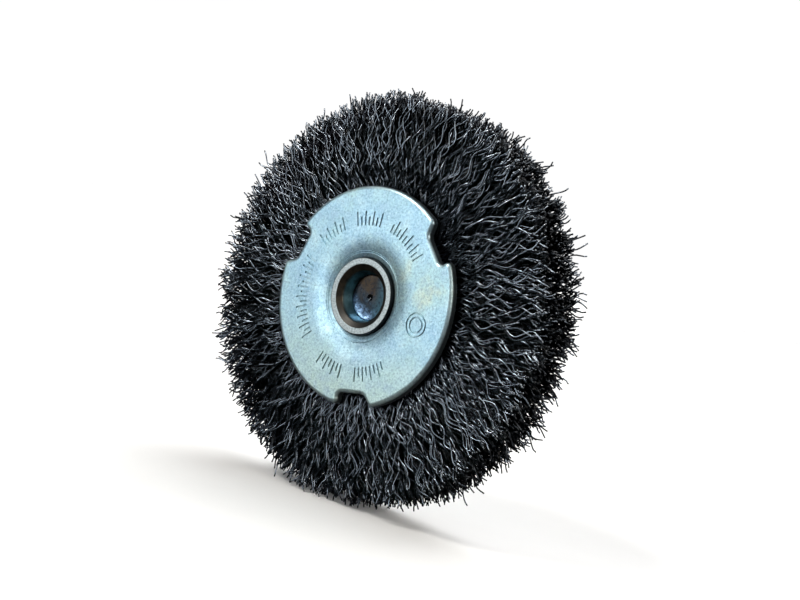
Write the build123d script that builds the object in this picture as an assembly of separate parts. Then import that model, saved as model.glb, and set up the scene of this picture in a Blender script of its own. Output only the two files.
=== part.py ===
from build123d import *
from math import cos, hypot, radians, sin, sqrt
import os

# Crimped wire wheel brush on a round drill stem. Millimetres. The wheel turns about Y, its front face
# looks along -Y, the stem leaves along +Y, and the origin is the centre of the wheel on its axis.
# Profiles are drawn as (radius, height), where height is the distance from the wheel's middle plane
# towards the rear. The front pieces are mirror images of the rear ones.

# Wheel
WHEEL_RADIUS = 50.0
TIP_HALF_WIDTH = 7.2
TIP_CHAMFER = 0.8
BUNDLES_PER_ROW = 18
BUNDLE_GAP_DEGREES = 0.4
ROW_GAP = 0.1

# Flange: one pressed sheet with its edges turned down, a dished middle and three notches
FLANGE_RADIUS = 27.3
FLANGE_HEIGHT = 10.0
SHEET = 0.9
EDGE_BEND = 1.1
SKIRT_DEPTH = 2.1
DISH_RIM_RADIUS = 15.6
DISH_CURVE = 14.3
DISH_SEAM_RADIUS = 17.0
GROOVE_PLACES = [10.9, 11.4]
GROOVE_RADIUS = 0.12

# Notches: steep on the clockwise side as seen from the front, and flared on the other
NOTCH_COUNT = 3
NOTCH_FIRST_ANGLE = 40.0
NOTCH_DEPTH = 3.5
NOTCH_STEEP_SIDE = 4.8
NOTCH_FLAT_END = 3.2
NOTCH_FLARED_SIDE = 6.0
NOTCH_STEEP_BEND = 1.3
NOTCH_FLARED_BEND = 2.2
NOTCH_MOUTH_BEND = 1.3
NOTCH_OVERRUN = 3.0
EDGE_TOLERANCE = 0.01

# Stamped marks on the front flange: groups of short strokes, and one plain double ring
STROKE_WIDTH = 0.5
STROKE_DEPTH = 0.3
STROKE_INNER_RADIUS = 17.4
STROKE_LONG = 3.6
STROKE_SHORT = 2.2
STROKE_STEP = 3.75
STROKE_GROUPS = [(40.0, 10), (86.0, 7), (122.0, 7), (162.0, 17), (244.0, 7), (281.0, 8)]
RING_MARK_ANGLE = -9.7
RING_MARK_PLACE = 18.8
RING_MARK_RADII = [3.0, 2.0]
RING_MARK_LINE = 0.4

# Hub tube
TUBE_RADIUS = 9.5
BORE_RADIUS = 5.7
TUBE_END = 10.0
MOUTH_RADIUS = 7.9
MOUTH_THROAT_RADIUS = 6.5
MOUTH_DEPTH = 0.9
MOUTH_BEND = 0.5
TUBE_EDGE = 0.2

# Stem
STEM_RADIUS = 6.35 / 2
STEM_LENGTH = 31.0
STEM_CHAMFER = 0.8
STEM_ROOT = 0.5
STEM_FLOOR = 6.2
STEM_FLOOR_CHAMFER = 0.3
CENTRE_HOLE_RADIUS = 0.9
CENTRE_HOLE_DEPTH = 0.5
COLLAR_RADIUS = 7.6
COLLAR_THICKNESS = 2.2
COLLAR_CHAMFER = 0.4

# Plates, sleeve and core rings between the flanges
PLATE_THICKNESS = 0.8
PLATE_RADIUS = 19.0
SLEEVE_OUTER = 11.0
CORE_WIRE_RADIUS = 1.5
CORE_RING_RADIUS = 13.0
CORE_RING_HEIGHT = 4.0
BUNDLE_INNER_RADIUS = 14.6
BUNDLE_INNER_HEIGHT = 6.2
BUNDLE_CLEARANCE = 0.2
BUNDLE_SHOULDER_RADIUS = 26.0

UNDERSIDE = FLANGE_HEIGHT - SHEET
SKIRT_END = FLANGE_HEIGHT - SKIRT_DEPTH
DISH_CENTRE = FLANGE_HEIGHT - DISH_CURVE
PLATE_OUTSIDE = DISH_CENTRE + sqrt((DISH_CURVE - SHEET) ** 2 - (DISH_RIM_RADIUS - TUBE_RADIUS) ** 2)
PLATE_INSIDE = PLATE_OUTSIDE - PLATE_THICKNESS


def turned(points, bends):
    """A closed profile with a bend radius at each corner, turned a full circle about Y."""
    outline = FilletPolyline(*points, radius=bends, close=True)
    return revolve(make_face(outline.edges()), Axis.Y)


def to_front(shape):
    return mirror(shape, about=Plane.XZ)


def at_angle(shape, angle):
    """Turns a shape from +X towards +Z, which is anticlockwise as seen from the front."""
    return Rot(0, -angle, 0) * shape


def notch():
    """One notch on the +X side, steep below and flared above."""
    floor = FLANGE_RADIUS - NOTCH_DEPTH
    outside = FLANGE_RADIUS + NOTCH_OVERRUN
    flare = (NOTCH_FLARED_SIDE - NOTCH_FLAT_END) / NOTCH_DEPTH
    points = [
        (floor, -NOTCH_STEEP_SIDE),
        (floor, NOTCH_FLAT_END),
        (outside, NOTCH_FLARED_SIDE + NOTCH_OVERRUN * flare),
        (outside, -NOTCH_STEEP_SIDE),
    ]
    outline = FilletPolyline(*points, radius=[NOTCH_STEEP_BEND, NOTCH_FLARED_BEND, 0, 0], close=True)
    return make_face(outline.edges())


def rounded_plate(inset, top):
    """A notched disc from the end of the skirt up to the given height, a distance inside the flange's
    outline. Its notches' mouths and its upper edge are rounded. Its circle starts inside a notch."""
    radius = FLANGE_RADIUS - inset
    outline = Rot(0, 0, NOTCH_FIRST_ANGLE) * Circle(radius)
    cut = offset(notch(), inset) if inset else notch()
    for number in range(NOTCH_COUNT):
        outline -= Rot(0, 0, NOTCH_FIRST_ANGLE + number * 360 / NOTCH_COUNT) * cut
    plate = extrude(Plane.XZ.offset(-SKIRT_END) * outline, amount=SKIRT_END - top)
    mouths = plate.edges().filter_by(Axis.Y).filter_by(lambda edge: on_circle(edge, radius))
    plate = fillet(mouths, NOTCH_MOUTH_BEND - inset)
    return fillet(plate.edges().group_by(Axis.Y)[-1], EDGE_BEND - inset)


def on_circle(edge, radius):
    middle = edge @ 0.5
    return abs(hypot(middle.X, middle.Z) - radius) < EDGE_TOLERANCE


def flange_skin():
    """The flat part with its edge and its notches' edges turned down, open around the dished middle."""
    opening = Rot(-90, 0, 0) * rod(DISH_SEAM_RADIUS, 2 * FLANGE_HEIGHT)
    return rounded_plate(0, FLANGE_HEIGHT) - rounded_plate(SHEET, UNDERSIDE) - opening


def dish_arc(curve):
    """The dish's section from the tube out to its rim, as an arc that ends level."""
    start = DISH_RIM_RADIUS - TUBE_RADIUS
    places = [(start, sqrt(curve**2 - start**2)), (start / 2, sqrt(curve**2 - start**2 / 4)), (0, curve)]
    return ThreePointArc(*[(DISH_RIM_RADIUS - inward, DISH_CENTRE + rise) for inward, rise in places])


def dished_middle():
    """The middle of the sheet, which curves down to the tube, with two fine grooves round it."""
    outside = dish_arc(DISH_CURVE)
    underside = dish_arc(DISH_CURVE - SHEET)
    seam = [(DISH_SEAM_RADIUS, FLANGE_HEIGHT), (DISH_SEAM_RADIUS, UNDERSIDE)]
    rim = Polyline(outside @ 1, *seam, underside @ 1)
    hole = Line(underside @ 0, outside @ 0)
    middle = revolve(make_face([outside, *rim.edges(), underside, hole]), Axis.Y)
    for place in GROOVE_PLACES:
        height = DISH_CENTRE + sqrt(DISH_CURVE**2 - (DISH_RIM_RADIUS - place) ** 2)
        middle -= revolve(Pos(place, height, 0) * Circle(GROOVE_RADIUS), Axis.Y)
    return middle


def stroke_marks():
    """Rounded strokes along the radius, long and short by turns, on the flange's flat face."""
    marks = Sketch()
    for start, count in STROKE_GROUPS:
        for number in range(count):
            length = STROKE_SHORT if number % 2 else STROKE_LONG
            middle = STROKE_INNER_RADIUS + length / 2
            place = Rot(0, 0, start + number * STROKE_STEP) * Pos(middle, 0, 0)
            marks += place * SlotOverall(length, STROKE_WIDTH)
    return marks


def ring_mark():
    """Two plain rings, one inside the other."""
    angle = radians(RING_MARK_ANGLE)
    rings = Sketch()
    for radius in RING_MARK_RADII:
        rings += Circle(radius) - Circle(radius - RING_MARK_LINE)
    return Pos(RING_MARK_PLACE * cos(angle), RING_MARK_PLACE * sin(angle), 0) * rings


def stamped(front_flange):
    surface = Plane.XZ.offset(FLANGE_HEIGHT)
    marks = surface * (stroke_marks() + ring_mark())
    return front_flange - extrude(marks, amount=-STROKE_DEPTH)


def hub_tube():
    """Straight outside. Its bore opens through a throat to a rounded mouth at the front."""
    points = [
        (BORE_RADIUS, TUBE_END),
        (TUBE_RADIUS, TUBE_END),
        (TUBE_RADIUS, -TUBE_END),
        (MOUTH_RADIUS, -TUBE_END),
        (MOUTH_THROAT_RADIUS, -TUBE_END + MOUTH_DEPTH),
        (BORE_RADIUS, -STEM_FLOOR),
    ]
    bends = [TUBE_EDGE, TUBE_EDGE, TUBE_EDGE, MOUTH_BEND, MOUTH_BEND, 0]
    return turned(points, bends)


def drive_shank():
    """A body that fills the tube's bore, a collar against the tube's rear end, and the round stem. The
    body's front end keeps the centre hole it was turned on."""
    body = Pos(0, -STEM_FLOOR, 0) * Rot(-90, 0, 0) * rod(BORE_RADIUS, STEM_FLOOR + TUBE_END)
    body = chamfer(body.edges().group_by(Axis.Y)[0], STEM_FLOOR_CHAMFER)
    tip = CENTRE_HOLE_DEPTH - STEM_FLOOR
    body -= turned([(0, -STEM_FLOOR), (CENTRE_HOLE_RADIUS, -STEM_FLOOR), (0, tip)], [0, 0, 0])
    collar = Pos(0, TUBE_END, 0) * Rot(-90, 0, 0) * rod(COLLAR_RADIUS, COLLAR_THICKNESS)
    collar = chamfer(collar.edges().filter_by(GeomType.CIRCLE), COLLAR_CHAMFER)
    root = TUBE_END + COLLAR_THICKNESS
    points = [
        (0, root),
        (STEM_RADIUS + STEM_ROOT, root),
        (STEM_RADIUS, root + STEM_ROOT),
        (STEM_RADIUS, root + STEM_LENGTH - STEM_CHAMFER),
        (STEM_RADIUS - STEM_CHAMFER, root + STEM_LENGTH),
        (0, root + STEM_LENGTH),
    ]
    stem = turned(points, [0] * len(points))
    return body + collar + stem


def rod(radius, length):
    """A cylinder from the origin up +Z."""
    return extrude(Circle(radius), amount=length)


def inner_plate():
    points = [
        (TUBE_RADIUS, PLATE_INSIDE),
        (PLATE_RADIUS, PLATE_INSIDE),
        (PLATE_RADIUS, PLATE_OUTSIDE),
        (TUBE_RADIUS, PLATE_OUTSIDE),
    ]
    return turned(points, [0] * len(points))


def spacer_sleeve():
    points = [
        (TUBE_RADIUS, -PLATE_INSIDE),
        (SLEEVE_OUTER, -PLATE_INSIDE),
        (SLEEVE_OUTER, PLATE_INSIDE),
        (TUBE_RADIUS, PLATE_INSIDE),
    ]
    return turned(points, [0] * len(points))


def core_ring():
    section = Pos(CORE_RING_RADIUS, CORE_RING_HEIGHT, 0) * Circle(CORE_WIRE_RADIUS)
    return revolve(section, Axis.Y)


def wire_bundle():
    """One closed sector of the wire fill, which starts at the +X side of its gap."""
    shoulder = SKIRT_END - BUNDLE_CLEARANCE
    points = [
        (BUNDLE_INNER_RADIUS, ROW_GAP),
        (BUNDLE_INNER_RADIUS, BUNDLE_INNER_HEIGHT),
        (BUNDLE_SHOULDER_RADIUS, shoulder),
        (WHEEL_RADIUS - TIP_CHAMFER, TIP_HALF_WIDTH + TIP_CHAMFER),
        (WHEEL_RADIUS, TIP_HALF_WIDTH),
        (WHEEL_RADIUS, ROW_GAP),
    ]
    section = make_face(Polyline(*points, close=True).edges())
    sweep_angle = 360 / BUNDLES_PER_ROW - BUNDLE_GAP_DEGREES
    sector = revolve(section, Axis.Y, revolution_arc=sweep_angle)
    return Rot(0, BUNDLE_GAP_DEGREES / 2, 0) * sector


def nodes():
    """Every piece of the brush by name."""
    flange = flange_skin() + dished_middle()
    pieces = {
        "front_flange": stamped(to_front(flange)),
        "rear_flange": flange,
        "hub_tube": hub_tube(),
        "drive_shank": drive_shank(),
        "spacer_sleeve": spacer_sleeve(),
    }
    pairs = {
        "inner_plate": inner_plate(),
        "core_ring": core_ring(),
    }
    for name, shape in pairs.items():
        pieces["front_" + name] = to_front(shape)
        pieces["rear_" + name] = shape
    bundle = wire_bundle()
    for number in range(BUNDLES_PER_ROW):
        placed = at_angle(bundle, number * 360 / BUNDLES_PER_ROW)
        pieces[f"front_bundle_{number + 1:02d}"] = to_front(placed)
        pieces[f"rear_bundle_{number + 1:02d}"] = placed
    return pieces


os.makedirs("parts", exist_ok=True)
for node, piece in nodes().items():
    export_step(piece, f"parts/{node}.step")
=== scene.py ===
import math

import bmesh
import bpy
import numpy as np
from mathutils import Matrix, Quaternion, Vector

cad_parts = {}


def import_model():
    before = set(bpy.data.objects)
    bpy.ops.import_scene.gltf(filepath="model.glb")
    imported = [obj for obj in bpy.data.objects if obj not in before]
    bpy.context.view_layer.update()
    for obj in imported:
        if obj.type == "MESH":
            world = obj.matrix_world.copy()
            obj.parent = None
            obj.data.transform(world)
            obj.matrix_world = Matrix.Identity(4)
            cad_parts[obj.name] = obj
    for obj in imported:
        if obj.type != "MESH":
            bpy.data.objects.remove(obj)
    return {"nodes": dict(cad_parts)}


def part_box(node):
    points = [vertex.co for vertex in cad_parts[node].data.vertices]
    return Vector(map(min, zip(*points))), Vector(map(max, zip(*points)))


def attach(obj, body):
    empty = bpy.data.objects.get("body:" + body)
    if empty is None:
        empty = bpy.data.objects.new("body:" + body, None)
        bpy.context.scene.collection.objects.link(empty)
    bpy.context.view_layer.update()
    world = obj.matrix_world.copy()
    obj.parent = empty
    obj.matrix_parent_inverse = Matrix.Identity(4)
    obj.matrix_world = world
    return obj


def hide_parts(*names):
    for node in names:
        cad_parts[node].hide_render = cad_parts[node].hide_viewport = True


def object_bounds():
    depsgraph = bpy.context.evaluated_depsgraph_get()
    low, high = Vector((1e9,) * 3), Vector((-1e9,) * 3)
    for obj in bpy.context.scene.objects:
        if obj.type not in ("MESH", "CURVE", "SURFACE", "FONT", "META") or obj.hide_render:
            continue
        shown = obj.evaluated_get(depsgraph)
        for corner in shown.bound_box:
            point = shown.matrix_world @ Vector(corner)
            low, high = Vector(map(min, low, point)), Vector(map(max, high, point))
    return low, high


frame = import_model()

# Looks for the crimped wire wheel brush. Metres, in the CAD's frame: the wheel turns about Y, its front
# faces -Y and its stem leaves along +Y.

MM = 0.001
BODY = "root"
ROWS = {"front": -1.0, "rear": 1.0}
cad_low, cad_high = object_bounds()

# ---------------------------------------------------------------- sizes read from the frame

BUNDLES = sum(name.startswith("front_bundle_") for name in frame["nodes"])
WHEEL_RADIUS = cad_high[0]
flange_low, flange_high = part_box("front_flange")
FLANGE_RADIUS = flange_high[0]
FLANGE_HEIGHT = -flange_low[1]
TUBE_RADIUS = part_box("hub_tube")[1][0]

# ---------------------------------------------------------------- driving values of the wire fill

SEED = 29
FULL_TURN = 2 * math.pi
GOLDEN = (math.sqrt(5) - 1) / 2
SECTOR = FULL_TURN / BUNDLES
LOCKS_PER_BUNDLE = 42
WIRES_PER_LOCK = 5

WIRE_RADIUS = 0.18 * MM
WIRE_SIDES = 5
WIRE_STEPS = 36
WIRE_START = FLANGE_RADIUS - 5.0 * MM

TIP_HALF_WIDTH = 8.0 * MM
SHOULDER_RADIUS = 33.0 * MM
SHOULDER_HALF_WIDTH = 8.1 * MM
# how far a wire's free end may stand past the row's half width
WIDTH_SPARE = 1.4 * MM
FLOOR_GAP = 1.0 * MM

# the places of locks and wires: spreads as shares of a sector, and of the row's depth
LOCK_PLACE_SPREAD = 0.04
WIRE_PLACE_SPREAD = 0.08
DEPTH_SPREAD = 0.12
DEPTH_POWER = 0.65

# the trimmed ends, which are a little longer at the wheel's left and right
LOCK_TRIM_SPREAD = 0.55 * MM
WIRE_TRIM = -0.1 * MM
WIRE_TRIM_SPREAD = 0.7 * MM
STRAY_SHARE = 0.12
STRAY_LENGTH = 1.0 * MM
STRAY_MEAN, STRAY_OVAL = 1.2, 0.6
SHORTEST, LONGEST = -3.0 * MM, 4.2 * MM
OUTLINE_OVAL = 0.45 * MM
OUTLINE_LOBES = (3, 7, 12, 19, 27, 41)
LOBE_LOW, LOBE_HIGH = 0.10 * MM, 0.30 * MM

# the way a wire leans and bows, and is drawn in towards the middle of its lock
LOCK_LEAN_SPREAD = 0.7 * MM
WIRE_LEAN_SPREAD = 0.9 * MM
BOW_SPREAD = 0.6 * MM
GATHER = 0.35
LEAN_POWER, DEEP_LEAN_POWER = 1.3, 1.4
# what a lean, a bow and a crimp come to along the wheel's axis, as a share of what they are round it
DEEP_LEAN, DEEP_BOW, DEEP_CRIMP = 0.6, 0.5, 0.8

# the crimp; its plane and phase are in radians
CRIMP_WAVE = 9.0 * MM
CRIMP_WAVE_SPREAD = 0.07
CRIMP_HEIGHT = 1.05 * MM
CRIMP_HEIGHT_SPREAD = 0.16
CRIMP_PLANE_SPREAD = 0.65
CRIMP_TWIST_SPREAD = 0.4
CRIMP_PHASE_SPREAD = 1.1

# the tone of each wire, from 0 for near black to 1 for bright steel, with painted shading deep in the fill
# and painted light near the faces and at the very tips
PAINTED_SHADING_DEPTH = 0.75
PAINTED_SHADING_DEPTH_RANGE = 0.22
FACE_PAINTED_LIGHT = 0.80
OWN_SHADE = 0.28
BASE_SHADE = -0.12
TIP_PAINTED_LIGHT = 0.45
TIP_PAINTED_LIGHT_POWER = 10

# ---------------------------------------------------------------- crimped wires


def column(values):
    """One value for each wire, ready to meet an array of wires by steps."""
    return values[:, None]


def half_width(radius):
    """How far the fill reaches from the wheel's middle plane, at a distance from its axis."""
    places = [WIRE_START, FLANGE_RADIUS, SHOULDER_RADIUS, WHEEL_RADIUS]
    widths = [FLANGE_HEIGHT - 4.0 * MM, FLANGE_HEIGHT - 3.0 * MM, SHOULDER_HALF_WIDTH, TIP_HALF_WIDTH]
    return np.interp(radius, places, widths)


def uneven(angle):
    """The slow rise and fall of the trimmed outline round the wheel."""
    rng = np.random.default_rng(SEED)
    total = OUTLINE_OVAL * np.cos(2 * angle)
    for lobes in OUTLINE_LOBES:
        total += rng.uniform(LOBE_LOW, LOBE_HIGH) * np.sin(lobes * angle + rng.uniform(0.0, FULL_TURN))
    return total


def wire_places(rng, sector):
    """For each wire: the lock it stands in, its angle round the wheel, its depth in the row, from 0 at the
    middle plane to 1 at the face, and the angle from it to the middle of its lock."""
    locks = np.arange(LOCKS_PER_BUNDLE)
    lock = np.repeat(locks, WIRES_PER_LOCK)
    lock_share = (locks * GOLDEN + rng.normal(0.0, LOCK_PLACE_SPREAD, len(locks)) + rng.random()) % 1.0
    lock_depth = (locks + rng.random(len(locks))) / len(locks)
    share = lock_share[lock] + rng.normal(0.0, WIRE_PLACE_SPREAD, len(lock))
    depth = lock_depth[lock] ** DEPTH_POWER + rng.normal(0.0, DEPTH_SPREAD, len(lock))
    return lock, SECTOR * (sector + share), np.clip(depth, 0.0, 1.0), SECTOR * (lock_share[lock] - share)


def wire_tips(rng, lock, angle):
    """How far from the axis each wire ends. Some are strays, which stand out from the rest."""
    lock_trim = rng.normal(0.0, LOCK_TRIM_SPREAD, LOCKS_PER_BUNDLE)
    trim = lock_trim[lock] + rng.normal(WIRE_TRIM, WIRE_TRIM_SPREAD, len(lock)) + uneven(angle)
    stray = rng.random(len(lock)) < STRAY_SHARE
    reach = rng.exponential(STRAY_LENGTH, len(lock)) * (STRAY_MEAN + STRAY_OVAL * np.cos(2 * angle))
    return WHEEL_RADIUS + np.clip(trim + stray * reach, SHORTEST, LONGEST)


def wire_bend(rng, lock, inward, free):
    """How far each wire leans and bows from its own radius: round the wheel, and along the wheel's axis."""
    lock_lean = rng.normal(0.0, LOCK_LEAN_SPREAD, (LOCKS_PER_BUNDLE, 2))
    lean = lock_lean[lock] + rng.normal(0.0, WIRE_LEAN_SPREAD, (len(lock), 2))
    bow = rng.normal(0.0, BOW_SPREAD, (len(lock), 2))
    gather = GATHER * WHEEL_RADIUS * inward
    arch = np.sin(math.pi * free)
    across = column(lean[:, 0] + gather) * free**LEAN_POWER + column(bow[:, 0]) * arch
    deep = DEEP_LEAN * column(lean[:, 1]) * free**DEEP_LEAN_POWER + DEEP_BOW * column(bow[:, 1]) * arch
    return across, deep


def wire_crimp(rng, lock, radius, free):
    """The wave pressed into each wire, in a plane that twists a little on its way out: round the wheel, and
    along the wheel's axis."""
    wave = CRIMP_WAVE * rng.normal(1.0, CRIMP_WAVE_SPREAD, len(lock))
    height = CRIMP_HEIGHT * rng.normal(1.0, CRIMP_HEIGHT_SPREAD, len(lock))
    plane = rng.normal(0.0, CRIMP_PLANE_SPREAD, len(lock))
    twist = rng.normal(0.0, CRIMP_TWIST_SPREAD, len(lock))
    lock_phase = rng.uniform(0.0, FULL_TURN, LOCKS_PER_BUNDLE)
    phase = lock_phase[lock] + rng.normal(0.0, CRIMP_PHASE_SPREAD, len(lock))
    crimp = column(height) * np.sin(FULL_TURN * (radius - WIRE_START) / column(wave) + column(phase))
    direction = column(plane) + column(twist) * free
    return crimp * np.cos(direction), DEEP_CRIMP * crimp * np.sin(direction)


def wire_tones_and_painted_shading(rng, depth, free):
    """Each point's tone: darkened as painted shading deep in the fill, bright as painted light near the faces
    and at the very tips.
    """
    # painted shading: wires deep in the fill are darkened, and those near the faces are bright as if lit
    painted_light_near_face = np.clip((depth - PAINTED_SHADING_DEPTH) / PAINTED_SHADING_DEPTH_RANGE, 0.0, 1.0)
    own = FACE_PAINTED_LIGHT * painted_light_near_face + OWN_SHADE * rng.random(len(depth)) + BASE_SHADE
    # painted light on the very tips of the wires
    tip = TIP_PAINTED_LIGHT * np.clip(free, 0.0, 1.0)**TIP_PAINTED_LIGHT_POWER
    return np.clip(column(own) + tip, 0.0, 1.0)


def wire_lines(rng, side, sector):
    """Centre lines of one bundle's wires: an array of wires by steps by xyz, and each point's tone with its
    painted shading. The wires stand in locks, which share a lean, a length and roughly a phase of the crimp."""
    lock, angle, depth, inward = wire_places(rng, sector)
    tip = wire_tips(rng, lock, angle)
    radius = WIRE_START + column(tip - WIRE_START) * np.linspace(0.0, 1.0, WIRE_STEPS)
    free = np.clip((radius - FLANGE_RADIUS) / (WHEEL_RADIUS - FLANGE_RADIUS), 0.0, None)
    bend_across, bend_deep = wire_bend(rng, lock, inward, free)
    crimp_across, crimp_deep = wire_crimp(rng, lock, radius, free)
    across = bend_across + crimp_across
    limit = half_width(radius) + WIDTH_SPARE * np.clip(free, 0.0, 1.0)
    y = np.clip(side * column(depth) * half_width(radius) + bend_deep + crimp_deep, -limit, limit)
    sine, cosine = column(np.sin(angle)), column(np.cos(angle))
    x = radius * cosine - across * sine
    z = radius * sine + across * cosine
    floor_level = cad_low[2] - FLOOR_GAP + WIRE_RADIUS
    return np.stack([x, y, np.maximum(z, floor_level)], axis=-1), wire_tones_and_painted_shading(rng, depth, free)


def unit(vectors):
    return vectors / np.linalg.norm(vectors, axis=-1, keepdims=True)


def tube_points(lines, radius, sides):
    """Rings of points round each line, square to it."""
    tangent = unit(np.gradient(lines, axis=1))
    first = unit(np.cross(tangent, [0.0, 1.0, 0.0]))
    second = np.cross(tangent, first)
    turn = FULL_TURN * np.arange(sides) / sides
    ring = first[:, :, None, :] * np.cos(turn)[:, None] + second[:, :, None, :] * np.sin(turn)[:, None]
    return lines[:, :, None, :] + radius * ring


def tube_mesh(name, lines, radius, sides, tone_and_painted_shading):
    """One closed tube along each line, as a single mesh that also holds each point's tone with its painted
    shading.
    """
    points = tube_points(lines, radius, sides)
    tubes, steps = lines.shape[:2]
    at = np.arange(tubes * steps * sides).reshape(tubes, steps, sides)
    beside = np.roll(at, -1, axis=2)
    walls = np.stack([at[:, :-1], at[:, 1:], beside[:, 1:], beside[:, :-1]], axis=-1).reshape(-1, 4)
    ends = np.concatenate([at[:, 0, :], at[:, -1, ::-1]])
    corners = np.concatenate([walls.ravel(), ends.ravel()])
    counts = np.concatenate([np.full(len(walls), 4), np.full(len(ends), sides)])
    starts = np.concatenate([[0], np.cumsum(counts)[:-1]])
    rounded = np.arange(len(counts)) < len(walls)
    mesh = bpy.data.meshes.new(name)
    mesh.vertices.add(at.size)
    mesh.vertices.foreach_set("co", points.astype(np.float32).ravel())
    mesh.loops.add(len(corners))
    mesh.loops.foreach_set("vertex_index", corners.astype(np.int32))
    mesh.polygons.add(len(counts))
    mesh.polygons.foreach_set("loop_start", starts.astype(np.int32))
    mesh.polygons.foreach_set("use_smooth", rounded)
    mesh.update(calc_edges=True)
    mesh.validate()
    values = mesh.attributes.new("tone_and_painted_shading", "FLOAT", "POINT")
    values.data.foreach_set("value", np.repeat(tone_and_painted_shading.ravel(), sides).astype(np.float32))
    return mesh


def add_object(name, mesh, material):
    made = bpy.data.objects.new(name, mesh)
    bpy.context.scene.collection.objects.link(made)
    mesh.materials.append(material)
    return made


# ---------------------------------------------------------------- materials

MARKS_START = 15.6 * MM
MARKS_END = 22.0 * MM


class Nodes:
    """A short way to write a node material."""

    def __init__(self, name):
        self.material = bpy.data.materials.new(name)
        self.material.use_nodes = True
        self.tree = self.material.node_tree
        self.shader = self.tree.nodes["Principled BSDF"]

    def add(self, kind, **settings):
        node = self.tree.nodes.new("ShaderNode" + kind)
        for key, value in settings.items():
            setattr(node, key, value)
        return node

    def feed(self, socket, value):
        """Give a socket a number, a colour or another node's output."""
        if isinstance(value, (int, float)):
            socket.default_value = value
        elif isinstance(value, tuple):
            socket.default_value = (*value, 1.0)
        else:
            self.tree.links.new(value, socket)

    def axes(self, kind="Object"):
        """The X, Y and Z of each point's place, or of the way it faces for kind Normal."""
        parts = self.add("SeparateXYZ")
        self.feed(parts.inputs[0], self.add("TexCoord").outputs[kind])
        return parts.outputs

    def depth_and_radius(self):
        """Each point's Y, and its distance from the wheel's axis."""
        place = self.axes()
        squares = [self.maths("POWER", place[axis], 2.0) for axis in "XZ"]
        return place["Y"], self.maths("SQRT", self.maths("ADD", *squares))

    def noise(self, scale, detail=3.0, rough=0.5, vector=None):
        node = self.add("TexNoise")
        node.inputs["Scale"].default_value = scale
        node.inputs["Detail"].default_value = detail
        node.inputs["Roughness"].default_value = rough
        self.feed(node.inputs["Vector"], vector or self.add("TexCoord").outputs["Object"])
        return node.outputs["Fac"]

    def turned_lines(self, scale):
        """Fine rings round the wheel's axis, as a height."""
        depth, across = self.depth_and_radius()
        both = self.add("CombineXYZ")
        self.feed(both.inputs["X"], across)
        self.feed(both.inputs["Y"], depth)
        return self.noise(scale, 2.0, 0.5, vector=both.outputs[0])

    def ramp(self, value, *stops):
        """A colour for each value, from stops of a place and its colour."""
        node = self.add("ValToRGB")
        band = node.color_ramp
        while len(band.elements) < len(stops):
            band.elements.new(0.5)
        for element, (place, colour) in zip(band.elements, stops):
            element.position = place
            element.color = (*colour, 1.0)
        self.feed(node.inputs["Fac"], value)
        return node.outputs["Color"]

    def between(self, value, low, high, start=0.0, end=1.0):
        """A number that goes from low to high as the value goes from start to end."""
        node = self.add("MapRange")
        for key, number in zip(("From Min", "From Max", "To Min", "To Max"), (start, end, low, high)):
            node.inputs[key].default_value = number
        self.feed(node.inputs["Value"], value)
        return node.outputs["Result"]

    def maths(self, operation, *values):
        node = self.add("Math", operation=operation)
        for socket, value in zip(node.inputs, values):
            self.feed(socket, value)
        return node.outputs[0]

    def product(self, first, *others):
        for other in others:
            first = self.maths("MULTIPLY", first, other)
        return first

    def mixed(self, share, under, over):
        """The colour under, covered by a share of the colour over."""
        node = self.add("Mix", data_type="RGBA")
        for socket, value in zip((node.inputs[0], node.inputs[6], node.inputs[7]), (share, under, over)):
            self.feed(socket, value)
        return node.outputs[2]

    def bump(self, height, distance, strength=1.0, under=None):
        node = self.add("Bump")
        node.inputs["Distance"].default_value = distance
        node.inputs["Strength"].default_value = strength
        self.feed(node.inputs["Height"], height)
        if under:
            self.feed(node.inputs["Normal"], under)
        return node.outputs["Normal"]

    def set(self, **values):
        for key, value in values.items():
            self.feed(self.shader.inputs[key.replace("_", " ")], value)
        return self.material


def wire_material():
    """Steel that runs from near black to bright with each point's tone, which carries painted shading deep in
    the fill and painted light near the faces and tips, under brownish patches.
    """
    n = Nodes("crimped_wire")
    tone_and_painted_shading = n.add("Attribute", attribute_name="tone_and_painted_shading").outputs["Fac"]
    steel = n.ramp(tone_and_painted_shading, (0.0, (0.008, 0.009, 0.010)), (0.45, (0.030, 0.034, 0.040)),
                   (0.72, (0.125, 0.145, 0.168)), (1.0, (0.29, 0.325, 0.37)))
    patches = n.noise(420.0, 3.0, 0.6)
    colour = n.mixed(n.between(patches, 0.0, 0.6, 0.5, 0.72), steel, (0.05, 0.046, 0.040))
    return n.set(Base_Color=colour, Metallic=1.0, Roughness=n.between(patches, 0.13, 0.24, 0.3, 0.7))


def zinc_tone(n, cloud, speck):
    """Plating in blue, green and yellow clouds, yellower low down, with bloom and fine specks over them."""
    tone = n.ramp(cloud, (0.30, (0.34, 0.57, 0.74)), (0.48, (0.44, 0.69, 0.80)),
                  (0.60, (0.52, 0.77, 0.80)), (0.72, (0.74, 0.83, 0.66)))
    low_down = n.between(n.axes()["Z"], 0.45, 0.0, -24.0 * MM, -8.0 * MM)
    tone = n.mixed(low_down, tone, (0.72, 0.80, 0.58))
    bloom = n.noise(230.0, 4.0, 0.65)
    tone = n.mixed(n.between(bloom, 0.0, 0.45, 0.48, 0.70), tone, (0.72, 0.92, 0.95))
    tone = n.mixed(n.between(bloom, 0.4, 0.0, 0.30, 0.50), tone, (0.36, 0.52, 0.70))
    tone = n.mixed(n.between(speck, 0.0, 0.95, 0.50, 0.64), tone, (0.22, 0.35, 0.42))
    return n.mixed(n.between(speck, 0.7, 0.0, 0.34, 0.48), tone, (0.88, 1.0, 1.0))


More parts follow.
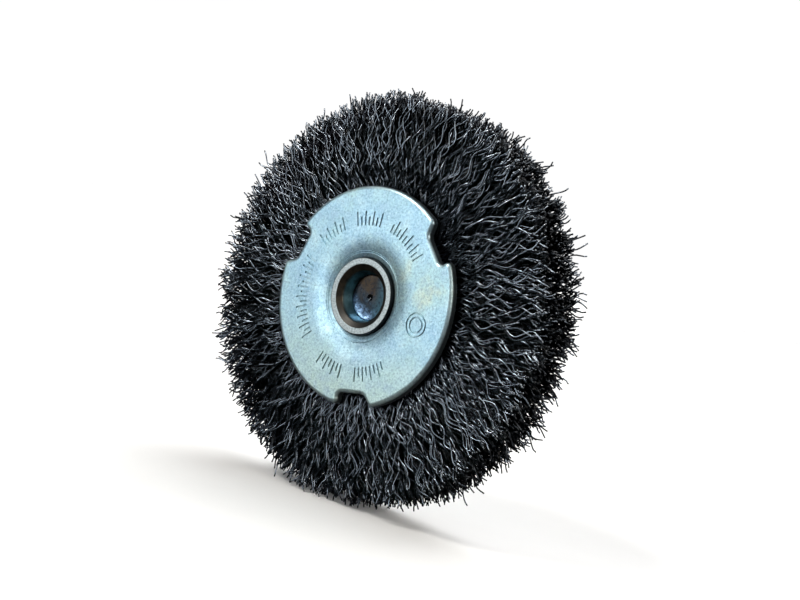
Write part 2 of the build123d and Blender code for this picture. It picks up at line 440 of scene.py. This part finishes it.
def zinc_marks_wear_and_painted_light(n, tone, height, across):
    """Darker in the stamped marks, painted shading beside the tube and down the side where the edge turns
    down, and a worn outer edge lightened as a painted highlight. Also gives the worn, highlit part, from 0 to
    1."""
    marks = n.product(n.between(across, 0.0, 1.0, MARKS_START - 0.2 * MM, MARKS_START),
                      n.between(across, 1.0, 0.0, MARKS_END, MARKS_END + 0.2 * MM))
    sunk = n.between(height, 1.0, 0.0, FLANGE_HEIGHT - 0.28 * MM, FLANGE_HEIGHT - 0.02 * MM)
    tone = n.mixed(n.product(sunk, marks, 0.25), tone, (0.12, 0.17, 0.18))
    # painted shade: a dark ring on the dish right beside the tube, where the groove lies in shade
    painted_shade_beside_tube = n.between(across, 0.85, 0.0, TUBE_RADIUS + 0.1 * MM, TUBE_RADIUS + 0.5 * MM)
    tone = n.mixed(painted_shade_beside_tube, tone, (0.03, 0.04, 0.045))
    # a worn outer edge, lightened as a painted highlight where the sheet starts to turn down; it also lowers
    # the roughness
    outer = n.between(across, 0.0, 1.0, MARKS_END, MARKS_END + 0.5 * MM)
    rounded = n.between(height, 1.0, 0.0, FLANGE_HEIGHT - 0.10 * MM, FLANGE_HEIGHT - 0.01 * MM)
    rubbed_and_painted_highlight = n.product(rounded, outer)
    tone = n.mixed(n.product(rubbed_and_painted_highlight, 0.25), tone, (0.85, 0.97, 0.98))
    # painted shade: the side where the edge turns down is made near black
    painted_shade_on_edge_side = n.between(height, 0.9, 0.0, FLANGE_HEIGHT - 0.75 * MM, FLANGE_HEIGHT - 0.25 * MM)
    return n.mixed(n.product(painted_shade_on_edge_side, outer), tone, (0.028, 0.028, 0.028)), rubbed_and_painted_highlight


def zinc_grain(n):
    """Bump of the plated sheet: soft waviness under a fine grain."""
    waves = n.bump(n.noise(300.0, 2.0), 0.05 * MM, 0.3)
    return n.bump(n.noise(2300.0, 3.0, 0.6), 0.05 * MM, 0.9, under=waves)


def zinc_material():
    """Bright plating, clouded, speckled and worn, with painted shading beside the tube and down the edge's
    side, a painted highlight on the worn edge, and turned lines in the dish.
    """
    n = Nodes("zinc_plate")
    depth, across = n.depth_and_radius()
    cloud = n.noise(70.0, 4.0, 0.6)
    speck = n.noise(1600.0, 5.0, 0.9)
    tone, rubbed_and_painted_highlight = zinc_marks_wear_and_painted_light(n, zinc_tone(n, cloud, speck), n.maths("ABSOLUTE", depth), across)
    rough = n.maths("ADD", n.between(cloud, 0.40, 0.50, 0.3, 0.7), n.between(speck, -0.05, 0.07, 0.3, 0.7))
    rough = n.maths("SUBTRACT", rough, n.product(rubbed_and_painted_highlight, 0.04))
    dish = n.between(across, 1.0, 0.0, TUBE_RADIUS + 2.4 * MM, TUBE_RADIUS + 4.5 * MM)
    rings = n.product(n.turned_lines(3500.0), dish)
    normal = n.bump(rings, 0.05 * MM, 0.6, under=zinc_grain(n))
    return n.set(Base_Color=tone, Metallic=0.9, Roughness=rough, Normal=normal)


def mouth_tone(n, depth):
    """Plating inside the tube's mouth: brown just behind the rim, dark at the bottom, and teal further in."""
    stain = n.noise(260.0, 3.0, 0.6)
    brown = n.ramp(stain, (0.35, (0.05, 0.044, 0.036)), (0.52, (0.115, 0.092, 0.064)),
                   (0.66, (0.062, 0.054, 0.052)))
    low_down = n.between(n.axes()["Z"], 0.9, 0.0, -5.0 * MM, -1.5 * MM)
    brown = n.mixed(low_down, brown, (0.05, 0.05, 0.048))
    teal = n.ramp(stain, (0.35, (0.09, 0.20, 0.24)), (0.55, (0.21, 0.40, 0.47)),
                  (0.70, (0.10, 0.16, 0.17)))
    return n.mixed(n.between(depth, 0.0, 1.0, -9.1 * MM, -8.3 * MM), brown, teal)


def hub_material():
    """A bright cut rim with a dark outline, dark plating inside the mouth, and black painted shading on the
    tube's outer wall.
    """
    n = Nodes("hub_steel")
    depth, across = n.depth_and_radius()
    facing_along_axis = n.maths("ABSOLUTE", n.axes("Normal")["Y"])
    cut = n.between(facing_along_axis, 0.0, 1.0, 0.90, 0.98)
    speck = n.noise(2200.0, 3.0, 0.7)
    bright = n.ramp(speck, (0.35, (0.24, 0.27, 0.27)), (0.50, (0.42, 0.47, 0.47)),
                    (0.70, (0.62, 0.67, 0.67)))
    # painted shade: the tube's outer wall is made near black
    painted_shade_outside = n.between(across, 0.0, 1.0, TUBE_RADIUS - 0.5 * MM, TUBE_RADIUS - 0.3 * MM)
    wall = n.mixed(painted_shade_outside, mouth_tone(n, depth), (0.012, 0.013, 0.014))
    outline = n.between(across, 0.0, 0.85, TUBE_RADIUS - 0.30 * MM, TUBE_RADIUS - 0.12 * MM)
    colour = n.mixed(outline, n.mixed(cut, wall, bright), (0.02, 0.022, 0.024))
    rough = n.maths("ADD", n.between(cut, 0.46, 0.42), n.between(speck, -0.04, 0.06, 0.3, 0.7))
    normal = n.bump(n.turned_lines(2600.0), 0.02 * MM, 0.5)
    return n.set(Base_Color=colour, Metallic=1.0, Roughness=rough, Normal=normal)


def floor_of_mouth_stains_and_painted_reflection(n, stain):
    """Pale blue at the bottom and brown at the top as a painted reflection, warped by stains; dark teal on
    the right; near-black mottling over all."""
    place = n.axes()
    # painted reflection: pale blue low down and brown high up on the end of the bore
    slant = n.maths("ADD", place["Z"], n.product(place["X"], 0.35))
    painted_reflection_drift = n.maths("ADD", slant, n.product(n.maths("SUBTRACT", stain, 0.5), 10.0 * MM))
    tone = n.ramp(n.between(painted_reflection_drift, 0.0, 1.0, -6.0 * MM, 5.5 * MM), (0.0, (0.45, 0.64, 0.88)),
                  (0.14, (0.11, 0.18, 0.28)), (0.35, (0.020, 0.030, 0.040)),
                  (0.70, (0.040, 0.030, 0.021)), (1.0, (0.030, 0.025, 0.020)))
    right = n.between(place["X"], 0.0, 0.85, 0.8 * MM, 3.0 * MM)
    tone = n.mixed(right, tone, (0.028, 0.060, 0.078))
    speck = n.noise(1500.0, 4.0, 0.75)
    return n.mixed(n.between(speck, 0.0, 0.85, 0.50, 0.60), tone, (0.012, 0.014, 0.02))


def shank_material():
    """Stained and mottled in the bore, with a painted reflection there, and plain turned steel behind the
    wheel.
    """
    n = Nodes("shank_steel")
    stain = n.noise(420.0, 4.0, 0.65)
    steel = n.ramp(n.noise(160.0, 3.0, 0.6), (0.35, (0.42, 0.42, 0.42)), (0.65, (0.56, 0.56, 0.55)))
    behind = n.between(n.axes()["Y"], 0.0, 1.0, -1.0 * MM, 1.0 * MM)
    colour = n.mixed(behind, floor_of_mouth_stains_and_painted_reflection(n, stain), steel)
    return n.set(Base_Color=colour, Metallic=1.0, Roughness=n.between(stain, 0.24, 0.36, 0.3, 0.7),
                 Normal=n.bump(n.turned_lines(2400.0), 0.03 * MM, 0.45))


def inner_material():
    """Dull, stained steel for what the flanges hide."""
    n = Nodes("inner_steel")
    stain = n.noise(300.0, 4.0, 0.6)
    colour = n.ramp(stain, (0.35, (0.07, 0.065, 0.06)), (0.65, (0.19, 0.20, 0.20)))
    return n.set(Base_Color=colour, Metallic=1.0, Roughness=n.between(stain, 0.4, 0.55, 0.3, 0.7),
                 Normal=n.bump(n.noise(2400.0), 0.02 * MM, 0.4))


WIRE = wire_material()
ZINC = zinc_material()
HUB = hub_material()
SHANK = shank_material()
INNER = inner_material()

NODE_MATERIALS = {
    "front_flange": ZINC, "rear_flange": ZINC,
    "hub_tube": HUB, "drive_shank": SHANK, "spacer_sleeve": INNER,
    "front_inner_plate": INNER, "rear_inner_plate": INNER,
    "front_core_ring": INNER, "rear_core_ring": INNER,
}

for name, material in NODE_MATERIALS.items():
    node = frame["nodes"][name]
    node.data.materials.clear()
    node.data.materials.append(material)

# ---------------------------------------------------------------- the wire fill

for row, side in ROWS.items():
    for sector in range(BUNDLES):
        rng = np.random.default_rng([SEED, int(side > 0), sector])
        lines, tone_and_painted_shading = wire_lines(rng, side, sector)
        mesh = tube_mesh(f"{row}_wires_{sector + 1:02d}", lines, WIRE_RADIUS, WIRE_SIDES, tone_and_painted_shading)
        wires = add_object(mesh.name, mesh, WIRE)
        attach(wires, BODY)
        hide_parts(f"{row}_bundle_{sector + 1:02d}")

# ---------------------------------------------------------------- floor, light and camera

CAMERA_AZIMUTH = 38.0
CAMERA_ELEVATION = 2.95
CAMERA_ROLL = 12.8
CAMERA_DISTANCE = 0.316
CAMERA_LENS = 56.9
CAMERA_CLIP_START = 0.01
AIM_RIGHT = 3.6 * MM
FLOOR_SIZE = 4.0
FLOOR_SIDES = 96
FLOOR_GLOW = 0.05
SURROUND_SIZE = FLOOR_SIZE * 1.2
SKY_COLOUR = (0.90, 0.95, 1.0, 1.0)
SKY_STRENGTH = 0.03
WHITE = (1.0, 1.0, 1.0)
COOL = (0.93, 0.97, 1.0)
WARM = (1.0, 0.97, 0.92)


def towards(azimuth, elevation):
    """The direction of a place seen from the object: azimuth 0 is in front, and 90 is on the +X side."""
    a, e = math.radians(azimuth), math.radians(elevation)
    return Vector((math.sin(a) * math.cos(e), -math.cos(a) * math.cos(e), math.sin(e)))


def looking_from(direction):
    """The turn that makes a light or a camera look back along a direction."""
    return (-direction).to_track_quat("-Z", "Y")


def disc(name, radius, level):
    mesh = bpy.data.meshes.new(name)
    turn = [FULL_TURN * i / FLOOR_SIDES for i in range(FLOOR_SIDES)]
    rim = [(radius * math.cos(a), radius * math.sin(a), level) for a in turn]
    mesh.from_pydata(rim, [], [list(range(FLOOR_SIDES))])
    return mesh


def floor():
    """A pale floor, just under the lowest wires."""
    n = Nodes("floor")
    paper = n.noise(40.0, 2.0)
    n.set(Base_Color=n.ramp(paper, (0.3, (0.90, 0.90, 0.90)), (0.7, (0.93, 0.93, 0.93))), Roughness=0.9,
          Emission_Color=WHITE, Emission_Strength=FLOOR_GLOW)
    made = add_object("floor", disc("floor", FLOOR_SIZE, cad_low[2] - FLOOR_GAP), n.material)
    made.visible_glossy = False


def surround():
    """A white surround, seen behind the object but lighting nothing."""
    mesh = bpy.data.meshes.new("surround")
    build = bmesh.new()
    bmesh.ops.create_icosphere(build, subdivisions=4, radius=SURROUND_SIZE)
    build.to_mesh(mesh)
    build.free()
    n = Nodes("surround")
    n.set(Base_Color=(0.0, 0.0, 0.0), Emission_Color=WHITE, Emission_Strength=1.0)
    made = add_object("surround", mesh, n.material)
    made.visible_diffuse = made.visible_glossy = made.visible_shadow = made.visible_transmission = False


def sun(name, azimuth, elevation, spread, strength, colour=WHITE):
    """A soft light from one direction."""
    place = towards(azimuth, elevation)
    data = bpy.data.lights.new(name, "SUN")
    data.angle = math.radians(spread)
    data.energy = strength
    data.color = colour
    made = bpy.data.objects.new(name, data)
    made.location = place
    made.rotation_mode = "QUATERNION"
    made.rotation_quaternion = looking_from(place)
    bpy.context.scene.collection.objects.link(made)


def world():
    made = bpy.data.worlds.new("studio")
    made.use_nodes = True
    back = made.node_tree.nodes["Background"]
    back.inputs["Color"].default_value = SKY_COLOUR
    back.inputs["Strength"].default_value = SKY_STRENGTH
    bpy.context.scene.world = made


def camera():
    """A low camera, rolled a little and aimed beside the middle of the wheel."""
    place = towards(CAMERA_AZIMUTH, CAMERA_ELEVATION)
    facing = looking_from(place) @ Quaternion((0.0, 0.0, 1.0), math.radians(CAMERA_ROLL))
    data = bpy.data.cameras.new("camera")
    data.lens = CAMERA_LENS
    data.clip_start = CAMERA_CLIP_START
    made = bpy.data.objects.new("camera", data)
    made.rotation_mode = "QUATERNION"
    made.rotation_quaternion = facing
    made.location = place * CAMERA_DISTANCE + facing @ Vector((AIM_RIGHT, 0.0, 0.0))
    bpy.context.scene.collection.objects.link(made)
    bpy.context.scene.camera = made


floor()
surround()
world()
sun("main", -30.0, 3.0, 22.0, 0.62, COOL)
sun("front", -8.0, 18.0, 34.0, 0.5, COOL)
sun("key", -25.0, 50.0, 16.0, 1.6, WARM)
sun("right", 78.0, 25.0, 30.0, 1.05, (1.0, 0.94, 0.86))
sun("rear", 142.0, 18.0, 40.0, 0.7, (1.0, 0.96, 0.88))
sun("back", 185.0, 64.0, 62.0, 2.6)
camera()
bpy.context.scene.view_settings.view_transform = "Standard"
